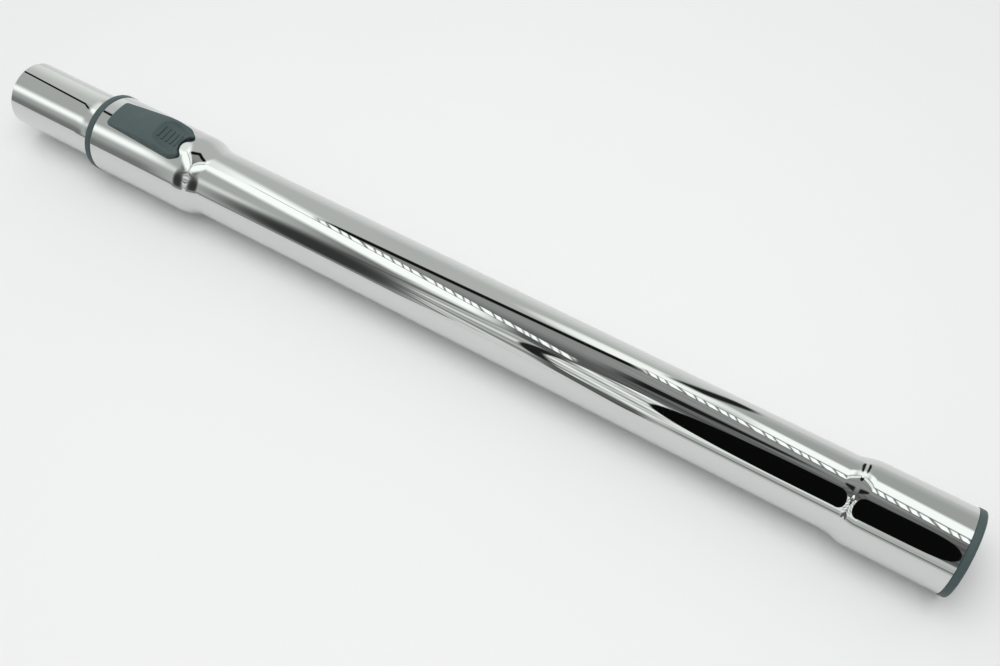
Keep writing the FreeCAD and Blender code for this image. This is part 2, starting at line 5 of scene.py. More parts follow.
import bmesh
import bpy
from mathutils import Matrix, Vector


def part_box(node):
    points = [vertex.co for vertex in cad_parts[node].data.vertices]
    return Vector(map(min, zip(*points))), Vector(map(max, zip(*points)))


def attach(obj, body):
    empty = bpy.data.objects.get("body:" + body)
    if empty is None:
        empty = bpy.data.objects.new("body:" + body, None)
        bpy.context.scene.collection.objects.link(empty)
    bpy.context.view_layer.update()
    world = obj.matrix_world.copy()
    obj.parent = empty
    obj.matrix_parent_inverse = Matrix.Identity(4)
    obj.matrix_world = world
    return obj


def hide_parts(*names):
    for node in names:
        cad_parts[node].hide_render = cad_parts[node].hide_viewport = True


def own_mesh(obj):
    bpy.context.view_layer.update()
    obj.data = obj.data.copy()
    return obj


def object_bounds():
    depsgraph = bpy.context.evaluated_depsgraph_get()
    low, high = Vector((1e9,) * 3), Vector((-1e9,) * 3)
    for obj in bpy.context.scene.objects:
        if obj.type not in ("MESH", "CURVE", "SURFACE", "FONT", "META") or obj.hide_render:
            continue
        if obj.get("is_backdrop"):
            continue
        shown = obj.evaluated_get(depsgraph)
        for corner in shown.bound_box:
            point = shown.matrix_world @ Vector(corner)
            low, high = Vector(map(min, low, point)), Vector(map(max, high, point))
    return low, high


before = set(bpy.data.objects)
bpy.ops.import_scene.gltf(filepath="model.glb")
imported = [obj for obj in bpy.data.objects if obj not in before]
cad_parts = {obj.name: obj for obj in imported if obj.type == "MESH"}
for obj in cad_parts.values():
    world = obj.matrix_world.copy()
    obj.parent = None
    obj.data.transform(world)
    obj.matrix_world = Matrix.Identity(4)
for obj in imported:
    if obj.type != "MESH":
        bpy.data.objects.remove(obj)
bpy.context.view_layer.update()

bl_info = {
    "name": "Telescopic vacuum wand",
    "version": (1, 0, 0),
    "blender": (4, 5, 0),
    "location": "View3D > Sidebar > Wand",
    "description": "Finishes a chromed telescopic vacuum wand and sets it on a pale table",
    "category": "Object",
}

ROUND_STEPS = 180  # faces around a tube
BEND_STEPS = 16  # faces along a rounded bend of a tube
RIM_STEPS = 3  # faces across the soft edge of a rim
RIM_SHARE = 0.35  # soft edge of a rim, as a share of the wall
RIM_TURN = 1.0  # faces that meet at a rim turn by more than this angle, in radians
RIM_REACH = 1e-5  # points as near to the end of a tube as this, in metres, belong to its rim
TUBE_CREASE = math.radians(10.0)  # a sharper edge of a tube stays crisp
WIRE_CREASE = math.radians(60.0)  # a sharper edge of the spring's wire stays crisp
TURN_STEPS = 32  # faces along one turn of the spring
WIRE_SIDES = 12  # faces around the spring's wire
TENT_STEPS = 90  # faces around the light tent
TOUCH = 1e-7  # points nearer to each other than this, in metres, are one
PICTURE_WIDTH = 36.0  # width of the picture that the lens is counted on, in millimetres


class WandSizes(bpy.types.PropertyGroup):
    """Sizes of the tubes and the return spring; places run along the wand from the socket's mouth."""

    wall: bpy.props.FloatProperty(
        name="Wall", description="Thickness of the tube's wall",
        default=0.0006, min=0.0002, subtype="DISTANCE", unit="LENGTH", precision=4)
    main_radius: bpy.props.FloatProperty(
        name="Main radius", description="Outside radius of the long middle stretch",
        default=0.01775, min=0.005, subtype="DISTANCE", unit="LENGTH", precision=5)
    socket_radius: bpy.props.FloatProperty(
        name="Socket radius", description="Outside radius of the widened socket",
        default=0.0197, min=0.005, subtype="DISTANCE", unit="LENGTH", precision=5)
    shoulder_place: bpy.props.FloatProperty(
        name="Shoulder place", description="Where the lock end begins to narrow",
        default=-0.4057, subtype="DISTANCE", unit="LENGTH", precision=5)
    shoulder_length: bpy.props.FloatProperty(
        name="Shoulder length", description="Length over which the lock end narrows",
        default=0.014, min=0.002, subtype="DISTANCE", unit="LENGTH", precision=4)
    bell_place: bpy.props.FloatProperty(
        name="Bell place", description="Where the tube begins to widen into the socket",
        default=-0.0547, subtype="DISTANCE", unit="LENGTH", precision=5)
    bell_length: bpy.props.FloatProperty(
        name="Bell length", description="Length over which the tube widens",
        default=0.011, min=0.002, subtype="DISTANCE", unit="LENGTH", precision=4)
    slot_place: bpy.props.FloatProperty(
        name="Slot place", description="End of the slider's slot that is nearer the collar",
        default=-0.4473, subtype="DISTANCE", unit="LENGTH", precision=5)
    slot_length: bpy.props.FloatProperty(
        name="Slot length", description="Length of the slot that the slider passes through",
        default=0.0252, min=0.001, subtype="DISTANCE", unit="LENGTH", precision=4)
    slot_width: bpy.props.FloatProperty(
        name="Slot width", description="Width of the slot that the slider passes through",
        default=0.0118, min=0.001, subtype="DISTANCE", unit="LENGTH", precision=4)
    slide_radius: bpy.props.FloatProperty(
        name="Sliding radius", description="Outside radius of the stretch that slides inside",
        default=0.0162, min=0.005, subtype="DISTANCE", unit="LENGTH", precision=5)
    neck_place: bpy.props.FloatProperty(
        name="Neck place", description="Where the plain end begins to narrow",
        default=-0.4752, subtype="DISTANCE", unit="LENGTH", precision=5)
    neck_length: bpy.props.FloatProperty(
        name="Neck length", description="Length over which the plain end narrows",
        default=0.0145, min=0.002, subtype="DISTANCE", unit="LENGTH", precision=5)
    groove_place: bpy.props.FloatProperty(
        name="Groove place", description="End of the pressed groove that is nearer the plain end",
        default=-0.4582, subtype="DISTANCE", unit="LENGTH", precision=5)
    groove_length: bpy.props.FloatProperty(
        name="Groove length", description="Length of the pressed groove",
        default=0.37, min=0.01, subtype="DISTANCE", unit="LENGTH", precision=5)
    groove_width: bpy.props.FloatProperty(
        name="Groove width", description="Width of the pressed groove",
        default=0.009, min=0.001, subtype="DISTANCE", unit="LENGTH", precision=5)
    groove_floor: bpy.props.FloatProperty(
        name="Groove floor", description="Height of the groove's floor over the wand's axis",
        default=0.0148, min=0.005, subtype="DISTANCE", unit="LENGTH", precision=5)
    spring_wire: bpy.props.FloatProperty(
        name="Spring wire", description="Thickness of the return spring's wire",
        default=0.00035, min=0.0001, subtype="DISTANCE", unit="LENGTH", precision=5)
    spring_turns: bpy.props.IntProperty(
        name="Spring turns", description="Turns of the return spring",
        default=8, min=2, max=30)
    release_stroke: bpy.props.FloatProperty(
        name="Release stroke", description="How far the thumb slider is drawn back to free the lock",
        default=0.005, min=0.0, subtype="DISTANCE", unit="LENGTH", precision=4)


class WandFinish(bpy.types.PropertyGroup):
    """Colours and surface qualities of the wand's materials."""

    chrome_colour: bpy.props.FloatVectorProperty(
        name="Chrome", description="Mirror colour of the plated tubes",
        default=(0.665, 0.677, 0.668), size=3, min=0.0, max=1.0, subtype="COLOR")
    chrome_roughness: bpy.props.FloatProperty(
        name="Chrome roughness", description="Blur of the mirror on a clean stretch of tube",
        default=0.015, min=0.0, max=1.0, subtype="FACTOR")
    chrome_wave: bpy.props.FloatProperty(
        name="Chrome waviness", description="Height of the faint ripple left by drawing and polishing",
        default=0.00006, min=0.0, max=0.001, subtype="DISTANCE", unit="LENGTH", precision=6)
    slate_colour: bpy.props.FloatVectorProperty(
        name="Slate plastic", description="Colour of the collar, thumb slider and socket ring",
        default=(0.065, 0.093, 0.094), size=3, min=0.0, max=1.0, subtype="COLOR")
    slate_roughness: bpy.props.FloatProperty(
        name="Slate roughness", description="Roughness of the moulded slate plastic",
        default=0.46, min=0.0, max=1.0, subtype="FACTOR")
    slate_shine: bpy.props.FloatProperty(
        name="Slate shine", description="Strength of the sheen on the moulded slate plastic",
        default=0.3, min=0.0, max=1.0, subtype="FACTOR")
    slate_grain: bpy.props.FloatProperty(
        name="Slate grain", description="Height of the fine grain on the moulded slate plastic",
        default=0.00004, min=0.0, max=0.001, subtype="DISTANCE", unit="LENGTH", precision=6)
    natural_colour: bpy.props.FloatVectorProperty(
        name="Natural plastic", description="Colour of the uncoloured plastic inside the lock",
        default=(0.62, 0.61, 0.56), size=3, min=0.0, max=1.0, subtype="COLOR")
    rubber_colour: bpy.props.FloatVectorProperty(
        name="Seal rubber", description="Colour of the soft ring between the tubes",
        default=(0.022, 0.022, 0.023), size=3, min=0.0, max=1.0, subtype="COLOR")
    spring_colour: bpy.props.FloatVectorProperty(
        name="Spring steel", description="Colour of the drawn wire of the return spring",
        default=(0.52, 0.52, 0.51), size=3, min=0.0, max=1.0, subtype="COLOR")


class WandStage(bpy.types.PropertyGroup):
    """Table, light and camera around the wand."""

    table_colour: bpy.props.FloatVectorProperty(
        name="Table", description="Colour of the pale table top",
        default=(0.86, 0.865, 0.865), size=3, min=0.0, max=1.0, subtype="COLOR")
    table_size: bpy.props.FloatProperty(
        name="Table size", description="Side of the square table top",
        default=9.0, min=1.0, max=50.0, subtype="DISTANCE", unit="LENGTH")
    wand_middle: bpy.props.FloatVectorProperty(
        name="Wand middle", description="Middle of the closed wand, which the lamp is aimed at",
        default=(-0.26, 0.0, 0.0), size=3, subtype="TRANSLATION", unit="LENGTH")
    clear_reach: bpy.props.FloatProperty(
        name="Clear reach", description="How far from the wand's middle the table begins to melt away",
        default=0.62, min=0.1, max=20.0, subtype="DISTANCE", unit="LENGTH")
    melted_reach: bpy.props.FloatProperty(
        name="Melted reach", description="How far from the wand's middle the table has become backdrop",
        default=1.5, min=0.1, max=20.0, subtype="DISTANCE", unit="LENGTH")
    room_light: bpy.props.FloatProperty(
        name="Room light", description="Strength of the soft light from all round",
        default=0.87, min=0.0, max=5.0)
    room_lean: bpy.props.FloatVectorProperty(
        name="Room lean", description="Where the soft light is stronger: along, across and up",
        default=(-0.6, 0.35, 0.7), size=3, subtype="XYZ")
    room_shading: bpy.props.FloatProperty(
        name="Room shading", description="Share of the soft light that follows the lean",
        default=0.55, min=0.0, max=1.0, subtype="FACTOR")
    tent_colour: bpy.props.FloatVectorProperty(
        name="Tent", description="Colour of the white light tent that the chrome mirrors",
        default=(0.965, 1.0, 0.98), size=3, min=0.0, max=1.0, subtype="COLOR")
    tent_radius: bpy.props.FloatProperty(
        name="Tent radius", description="How far the tent's round wall is from the wand's axis",
        default=0.353, min=0.1, max=5.0, subtype="DISTANCE", unit="LENGTH")
    tent_length: bpy.props.FloatProperty(
        name="Tent length", description="Length of the tent along the wand",
        default=3.0, min=0.5, max=20.0, subtype="DISTANCE", unit="LENGTH")
    tent_middle: bpy.props.FloatProperty(
        name="Tent middle", description="Place along the wand where its view of the tent has no lean",
        default=-0.0757, subtype="DISTANCE", unit="LENGTH", precision=4)
    tent_reach: bpy.props.FloatProperty(
        name="Tent reach", description="Distance along the tent at which the view leans by 45 degrees",
        default=0.8165, min=0.1, max=5.0, subtype="DISTANCE", unit="LENGTH", precision=4)
    lamp_power: bpy.props.FloatProperty(
        name="Lamp power", description="Power of the soft lamp above the wand",
        default=6.4, min=0.0, max=500.0, subtype="POWER", unit="POWER")
    lamp_size: bpy.props.FloatProperty(
        name="Lamp size", description="Side of the square lamp",
        default=0.9, min=0.01, max=10.0, subtype="DISTANCE", unit="LENGTH")
    lamp_place: bpy.props.FloatVectorProperty(
        name="Lamp place", description="Middle of the soft lamp",
        default=(-0.22, -0.08, 1.10), size=3, subtype="TRANSLATION", unit="LENGTH")
    camera_place: bpy.props.FloatVectorProperty(
        name="Camera place", description="Where the camera stands",
        default=(-0.07573, -0.22605, 0.42513), size=3, subtype="TRANSLATION", unit="LENGTH")
    camera_aim: bpy.props.FloatVectorProperty(
        name="Camera aim", description="Point at the middle of the picture",
        default=(-0.22009, -0.00452, 0.0), size=3, subtype="TRANSLATION", unit="LENGTH")
    camera_roll: bpy.props.FloatProperty(
        name="Camera roll", description="Turn of the camera about its own line of sight",
        default=math.radians(-2.435), subtype="ANGLE", unit="ROTATION")
    camera_lens: bpy.props.FloatProperty(
        name="Camera lens", description="Focal length of the camera, in millimetres",
        default=38.453, min=10.0, max=200.0)


class Signal:
    """An output socket of a node; sums and products of it add Math nodes."""

    def __init__(self, tree, socket=None):
        self.tree = tree
        self.socket = socket

    def make(self, kind, inputs=None, settings=None, output=0):
        """Add a node: its settings are set first, then the values or links of its sockets."""
        node = self.tree.nodes.new(kind)
        for name, value in (settings or {}).items():
            setattr(node, name, value)
        for name, value in (inputs or {}).items():
            if isinstance(value, Signal):
                self.tree.links.new(value.socket, node.inputs[name])
            else:
                node.inputs[name].default_value = value
        return Signal(self.tree, node.outputs[output] if node.outputs else None)

    def math(self, operation, first, second=0.0):
        """Add a Math node."""
        return self.make("ShaderNodeMath", {0: first, 1: second}, {"operation": operation})

    def __add__(self, other):
        return self.math("ADD", self, other)

    def __radd__(self, other):
        return self.math("ADD", other, self)

    def __sub__(self, other):
        return self.math("SUBTRACT", self, other)

    def __rsub__(self, other):
        return self.math("SUBTRACT", other, self)

    def __mul__(self, other):
        return self.math("MULTIPLY", self, other)

    def __rmul__(self, other):
        return self.math("MULTIPLY", other, self)

    def __truediv__(self, other):
        return self.math("DIVIDE", self, other)

    def __pow__(self, other):
        return self.math("POWER", self, other)

    def __abs__(self):
        return self.math("ABSOLUTE", self)

    def sine(self):
        return self.math("SINE", self)

    def least(self, other):
        return self.math("MINIMUM", self, other)

    def most(self, other):
        return self.math("MAXIMUM", self, other)

    def step(self, low, high):
        """Smooth rise from 0 at low to 1 at high, or fall where high is the smaller."""
        rising = high > low
        return self.make("ShaderNodeMapRange",
                         {"Value": self, "From Min": min(low, high), "From Max": max(low, high),
                          "To Min": 0.0 if rising else 1.0, "To Max": 1.0 if rising else 0.0},
                         {"interpolation_type": "SMOOTHSTEP"})

    def band(self, low, high, soft):
        """1 between two values and 0 outside them, with soft edges."""
        return self.step(low - soft, low + soft) * self.step(high + soft, high - soft)


def rgba(colour, factor=1.0):
    """Colour with an alpha, made lighter or darker by a factor."""
    return (*[min(1.0, part * factor) for part in colour], 1.0)


def new_material(name):
    """Empty node material; returns it with a signal to build on and its output node."""
    material = bpy.data.materials.new(name)
    material.use_nodes = True
    tree = material.node_tree
    tree.nodes.clear()
    output = tree.nodes.new("ShaderNodeOutputMaterial")
    return material, Signal(tree), output


def mix_colour(start, factor, first, second):
    """Mix of two colours by a factor, as a signal."""
    return start.make("ShaderNodeMix", {0: factor, 6: first, 7: second},
                      {"data_type": "RGBA"}, output=2)


def close_material(start, output, shader):
    """Link a finished shader to the material's output."""
    start.tree.links.new(shader.socket, output.inputs["Surface"])


def stretched(start, scale):
    """Object coordinates scaled apart along the three axes."""
    place = start.make("ShaderNodeTexCoord", output=3)
    return start.make("ShaderNodeMapping", {"Vector": place, "Scale": scale})


def noise(start, vector, scale, detail=3.0, roughness=0.55):
    """Fractal noise between 0 and 1."""
    return start.make("ShaderNodeTexNoise",
                      {"Vector": vector, "Scale": scale, "Detail": detail, "Roughness": roughness})


def seen_by_eye(start):
    """1 for light that goes straight to the picture, or there by way of metal or glass."""
    path = start.make("ShaderNodeLightPath").socket.node.outputs
    seen = Signal(start.tree, path["Is Camera Ray"])
    for name in ("Is Glossy Ray", "Is Transmission Ray"):
        seen = seen.most(Signal(start.tree, path[name]))
    return seen


def chrome_finish(finish):
    """Plated steel: a clear mirror with a faint ripple, polish lines and dull smears."""
    material, start, output = new_material("chromed_steel")
    long_lines = noise(start, stretched(start, (6.0, 900.0, 900.0)), 1.0, 2.0)
    smears = noise(start, stretched(start, (14.0, 38.0, 38.0)), 1.0, 4.0, 0.6).step(0.52, 0.72)
    specks = noise(start, stretched(start, (700.0, 700.0, 700.0)), 1.0, 1.0).step(0.70, 0.76)
    ripple = noise(start, stretched(start, (9.0, 60.0, 60.0)), 1.0, 1.0)
    roughness = finish.chrome_roughness + 0.008 * long_lines + 0.02 * smears + 0.05 * specks
    colour = mix_colour(start, smears * 0.5 + specks * 0.5,
                        rgba(finish.chrome_colour), rgba(finish.chrome_colour, 0.93))
    bump = start.make("ShaderNodeBump",
                      {"Height": ripple, "Strength": 0.35, "Distance": finish.chrome_wave})
    shader = start.make("ShaderNodeBsdfPrincipled",
                        {"Base Color": colour, "Metallic": 1.0, "Roughness": roughness, "Normal": bump})
    close_material(start, output, shader)
    return material


def slate_finish(finish):
    """Moulded slate plastic: fine eroded grain, faint flow marks and rubbed patches."""
    material, start, output = new_material("slate_plastic")
    even = stretched(start, (1.0, 1.0, 1.0))
    flow = noise(start, stretched(start, (60.0, 140.0, 140.0)), 1.0, 3.0)
    rubbed = noise(start, even, 95.0, 4.0, 0.6).step(0.5, 0.75)
    grain = noise(start, even, 5200.0, 2.0)
    colour = mix_colour(start, flow, rgba(finish.slate_colour, 0.93), rgba(finish.slate_colour, 1.08))
    colour = mix_colour(start, rubbed * 0.35, colour, rgba(finish.slate_colour, 1.3))
    roughness = finish.slate_roughness + 0.08 * flow - 0.07 * rubbed
    bump = start.make("ShaderNodeBump",
                      {"Height": grain, "Strength": 0.25, "Distance": finish.slate_grain})
    shader = start.make("ShaderNodeBsdfPrincipled",
                        {"Base Color": colour, "Roughness": roughness, "Normal": bump,
                         "Specular IOR Level": finish.slate_shine})
    close_material(start, output, shader)
    return material


def natural_finish(finish):
    """Uncoloured plastic of the hidden lock pieces, slightly cloudy and greased."""
    material, start, output = new_material("natural_plastic")
    even = stretched(start, (1.0, 1.0, 1.0))
    cloud = noise(start, even, 160.0, 4.0)
    grease = noise(start, even, 70.0, 3.0).step(0.5, 0.7)
    colour = mix_colour(start, cloud, rgba(finish.natural_colour, 0.9), rgba(finish.natural_colour, 1.08))
    roughness = 0.42 - 0.2 * grease + 0.1 * cloud
    shader = start.make("ShaderNodeBsdfPrincipled",
                        {"Base Color": colour, "Roughness": roughness})
    close_material(start, output, shader)
    return material


def rubber_finish(finish):
    """Black rubber of the seal with a dusty bloom."""
    material, start, output = new_material("seal_rubber")
    bloom = noise(start, stretched(start, (1.0, 1.0, 1.0)), 220.0, 4.0)
    colour = mix_colour(start, bloom, rgba(finish.rubber_colour), rgba(finish.rubber_colour, 2.2))
    roughness = 0.62 + 0.2 * bloom
    shader = start.make("ShaderNodeBsdfPrincipled",
                        {"Base Color": colour, "Roughness": roughness})
    close_material(start, output, shader)
    return material


def spring_finish(finish):
    """Drawn wire of the return spring with fine drawing marks."""
    material, start, output = new_material("spring_wire")
    marks = noise(start, stretched(start, (900.0, 2500.0, 2500.0)), 1.0, 2.0)
    colour = mix_colour(start, marks, rgba(finish.spring_colour, 0.8), rgba(finish.spring_colour, 1.1))
    roughness = 0.24 + 0.16 * marks
    shader = start.make("ShaderNodeBsdfPrincipled",
                        {"Base Color": colour, "Metallic": 1.0, "Roughness": roughness})
    close_material(start, output, shader)
    return material


def table_finish(stage):
    """Pale matt table top with faint blotches, which melts into the backdrop far from the wand."""
    material, start, output = new_material("pale_table")
    place = stretched(start, (1.0, 1.0, 1.0))
    blotch = noise(start, place, 5.0, 3.0)
    colour = mix_colour(start, blotch, rgba(stage.table_colour, 0.985), rgba(stage.table_colour, 1.015))
    matt = start.make("ShaderNodeBsdfPrincipled",
                      {"Base Color": colour, "Roughness": 0.6 + 0.1 * blotch,
                       "Specular IOR Level": 0.2})
    backdrop = start.make("ShaderNodeEmission", {"Color": rgba(stage.table_colour), "Strength": 1.0})
    distance = start.make("ShaderNodeVectorMath", {0: place, 1: stage.wand_middle},
                          {"operation": "DISTANCE"}, output=1)
    far_off = distance.step(stage.clear_reach, stage.melted_reach) * seen_by_eye(start)
    close_material(start, output, start.make("ShaderNodeMixShader", {0: far_off, 1: matt, 2: backdrop}))
    return material


def spin_shell(profile):
    """Thin shell of a drawn tube, spun from corners that each have a place, a radius and a rounding."""
    shape = bmesh.new()
    corners = [shape.verts.new((place, 0.0, radius)) for place, radius, _ in profile]
    for first, second in zip(corners, corners[1:]):
        shape.edges.new((first, second))
    for corner, (_, _, rounding) in zip(corners, profile):
        if rounding:
            bmesh.ops.bevel(shape, geom=[corner], offset=rounding, offset_type="OFFSET",
                            affect="VERTICES", segments=BEND_STEPS, profile=0.5, material=-1)
    bmesh.ops.spin(shape, geom=shape.verts[:] + shape.edges[:], axis=(1.0, 0.0, 0.0),
                   cent=(0.0, 0.0, 0.0), angle=2 * math.pi, steps=ROUND_STEPS, use_merge=True)
    bmesh.ops.remove_doubles(shape, verts=shape.verts[:], dist=TOUCH)
    bmesh.ops.recalc_face_normals(shape, faces=shape.faces[:])
    return shape


def slice_faces(shape, faces, point, normal):
    """Cut some faces of a shell along a plane."""
    edges = {edge for face in faces for edge in face.edges}
    corners = {corner for face in faces for corner in face.verts}
    bmesh.ops.bisect_plane(shape, geom=[*corners, *edges, *faces], dist=TOUCH,
                           plane_co=point, plane_no=normal)


def mark_window(shape, begin, length, width):
    """Cut the outline of a long window into the top of a shell, and return the faces in it."""
    end = begin + length

    def over_window():
        middles = [(face, face.calc_center_median()) for face in shape.faces]
        return [face for face, middle in middles if begin < middle.x < end and middle.z > 0.0]

    for place in (begin, end):
        slice_faces(shape, shape.faces[:], (place, 0.0, 0.0), (1.0, 0.0, 0.0))
    for side in (-width / 2, width / 2):
        slice_faces(shape, over_window(), (0.0, side, 0.0), (0.0, 1.0, 0.0))
    return [face for face in over_window() if abs(face.calc_center_median().y) < width / 2]


def stand_for(shape, name, node, body, crease):
    """Make an object of a finished shape, and let it stand for a node of the frame."""
    mesh = bpy.data.meshes.new(name)
    shape.to_mesh(mesh)
    shape.free()
    mesh.shade_smooth()
    mesh.set_sharp_from_angle(angle=crease)
    piece = bpy.data.objects.new(name, mesh)
    bpy.context.scene.collection.objects.link(piece)
    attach(piece, body)
    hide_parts(node)
    return piece


def finish_tube(shape, node, wall, body):
    """Give a shell its wall and soft rims, and let it stand for its tube."""
    low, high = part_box(node)
    bmesh.ops.solidify(shape, geom=shape.faces[:], thickness=wall)
    rims = [edge for edge in shape.edges
            if edge.calc_face_angle(0.0) > RIM_TURN
            and any(all(abs(corner.co.x - end) < RIM_REACH for corner in edge.verts)
                    for end in (low.x, high.x))]
    bmesh.ops.bevel(shape, geom=rims, offset=wall * RIM_SHARE, affect="EDGES", segments=RIM_STEPS,
                    profile=0.5, material=-1)
    return stand_for(shape, "chromed_" + node, node, body, TUBE_CREASE)


def make_outer_tube(sizes):
    """Outer tube: lock end with the slider's slot, shoulder, long middle, bell and socket."""
    low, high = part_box("outer_tube")
    shoulder = sizes.shoulder_length / 4
    bell = sizes.bell_length / 4
    shape = spin_shell((
        (low.x, high.z, 0.0),
        (sizes.shoulder_place + shoulder, high.z, shoulder),
        (sizes.shoulder_place + 3 * shoulder, sizes.main_radius, shoulder),
        (sizes.bell_place + bell, sizes.main_radius, bell),
        (sizes.bell_place + 3 * bell, sizes.socket_radius, bell),
        (high.x, sizes.socket_radius, 0.0),
    ))
    window = mark_window(shape, sizes.slot_place, sizes.slot_length, sizes.slot_width)
    bmesh.ops.delete(shape, geom=window, context="FACES")
    return finish_tube(shape, "outer_tube", sizes.wall, "outer")


def make_inner_tube(sizes):
    """Sliding tube: plain end, neck, and a long groove pressed into the top of its slim stretch."""
    low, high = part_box("inner_tube")
    neck = sizes.neck_length / 4
    shape = spin_shell((
        (low.x, high.y, 0.0),
        (sizes.neck_place + neck, high.y, neck),
        (sizes.neck_place + 3 * neck, sizes.slide_radius, neck),
        (high.x, sizes.slide_radius, 0.0),
    ))
    window = mark_window(shape, sizes.groove_place, sizes.groove_length, sizes.groove_width)
    pressed = bmesh.ops.extrude_face_region(shape, geom=window)["geom"]
    floor = [item for item in pressed if isinstance(item, bmesh.types.BMVert)]
    bmesh.ops.translate(shape, verts=floor, vec=(0.0, 0.0, sizes.groove_floor))
    bmesh.ops.scale(shape, verts=floor, vec=(1.0, 1.0, 0.0),
                    space=Matrix.Translation((0.0, 0.0, -sizes.groove_floor)))
    bmesh.ops.delete(shape, geom=[face for face in window if face.is_valid], context="FACES")
    bmesh.ops.recalc_face_normals(shape, faces=shape.faces[:])
    return finish_tube(shape, "inner_tube", sizes.wall, "inner")


def make_return_spring(sizes):
    """Coil of the return spring."""
    low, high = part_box("return_spring")
    radius = sizes.spring_wire / 2
    reach = high.x - low.x
    steps = TURN_STEPS * sizes.spring_turns
    shape = bmesh.new()
    place = Matrix.Translation((low.x + radius, 0.0, high.z - radius))
    bmesh.ops.create_circle(shape, cap_ends=True, segments=WIRE_SIDES, radius=radius,
                            matrix=place @ Matrix.Rotation(math.pi / 2, 4, "X"))
    bmesh.ops.spin(shape, geom=shape.verts[:] + shape.edges[:] + shape.faces[:],
                   cent=(0.0, 0.0, (low.z + high.z) / 2), axis=(1.0, 0.0, 0.0),
                   dvec=((reach - 2 * radius) / steps, 0.0, 0.0),
                   angle=2 * math.pi * sizes.spring_turns, steps=steps)
    bmesh.ops.recalc_face_normals(shape, faces=shape.faces[:])
    spring = stand_for(shape, "coiled_return_spring", "return_spring", "outer",
                       WIRE_CREASE)
    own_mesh(spring)
    return spring


def dress(node, material):
    """Give a piece of the fixed frame its finish."""
    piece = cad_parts[node]
    piece.data.materials.clear()
    piece.data.materials.append(material)


class WAND_OT_chromed_tubes(bpy.types.Operator):
    """Finish the outer and the sliding tube in chrome"""

    bl_idname = "wand.chromed_tubes"
    bl_label = "Chromed tubes"

    def execute(self, context):
        chrome = chrome_finish(context.scene.wand_finish)
        for make_tube in (make_outer_tube, make_inner_tube):
            make_tube(context.scene.wand_sizes).data.materials.append(chrome)
        return {"FINISHED"}


class WAND_OT_moulded_pieces(bpy.types.Operator):
    """Finish the collar, the thumb slider and the socket ring in slate plastic"""

    bl_idname = "wand.moulded_pieces"
    bl_label = "Moulded pieces"

    def execute(self, context):
        slate = slate_finish(context.scene.wand_finish)
        for node in ("guide_sleeve", "slider_button", "socket_liner"):
            dress(node, slate)
        return {"FINISHED"}


class WAND_OT_lock_pieces(bpy.types.Operator):
    """Finish the pieces inside the lock and at the hidden end of the sliding tube"""

    bl_idname = "wand.lock_pieces"
    bl_label = "Lock pieces"

    def execute(self, context):
        finish = context.scene.wand_finish
        natural = natural_finish(finish)
        for node in ("slider_carriage", "clamp_shoe", "inner_end_bush"):
            dress(node, natural)
        dress("inner_seal_ring", rubber_finish(finish))
        make_return_spring(context.scene.wand_sizes).data.materials.append(spring_finish(finish))
        return {"FINISHED"}


def make_table(stage):
    """Table top under the collar and the socket ring, which differ a little in height."""
    collar_low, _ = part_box("guide_sleeve")
    ring_low, ring_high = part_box("socket_liner")
    rise = (ring_low.z - collar_low.z) / (ring_high.x - collar_low.x)
    mesh = bpy.data.meshes.new("pale_table")
    shape = bmesh.new()
    bmesh.ops.create_grid(shape, x_segments=1, y_segments=1, size=stage.table_size / 2)
    for point in shape.verts:
        point.co.z = collar_low.z + (point.co.x - collar_low.x) * rise
    shape.to_mesh(mesh)
    shape.free()
    table = bpy.data.objects.new("pale_table", mesh)
    bpy.context.scene.collection.objects.link(table)
    mesh.materials.append(table_finish(stage))
    table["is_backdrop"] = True
    return table


def make_lamp(stage):
    """Soft square lamp above the wand."""
    light = bpy.data.lights.new("soft_lamp", "AREA")
    light.shape = "SQUARE"
    light.size = stage.lamp_size
    light.energy = stage.lamp_power
    lamp = bpy.data.objects.new("soft_lamp", light)
    lamp.location = stage.lamp_place
    aim = Vector(stage.wand_middle) - Vector(stage.lamp_place)
    lamp.rotation_mode = "QUATERNION"
    lamp.rotation_quaternion = aim.to_track_quat("-Z", "Y")
    lamp.visible_glossy = False
    lamp.visible_camera = False
    bpy.context.scene.collection.objects.link(lamp)
    return lamp


def lay_over(tone, mask, value):
    """Lay a value over a tone where the mask is 1."""
    return tone + mask * (value - tone)


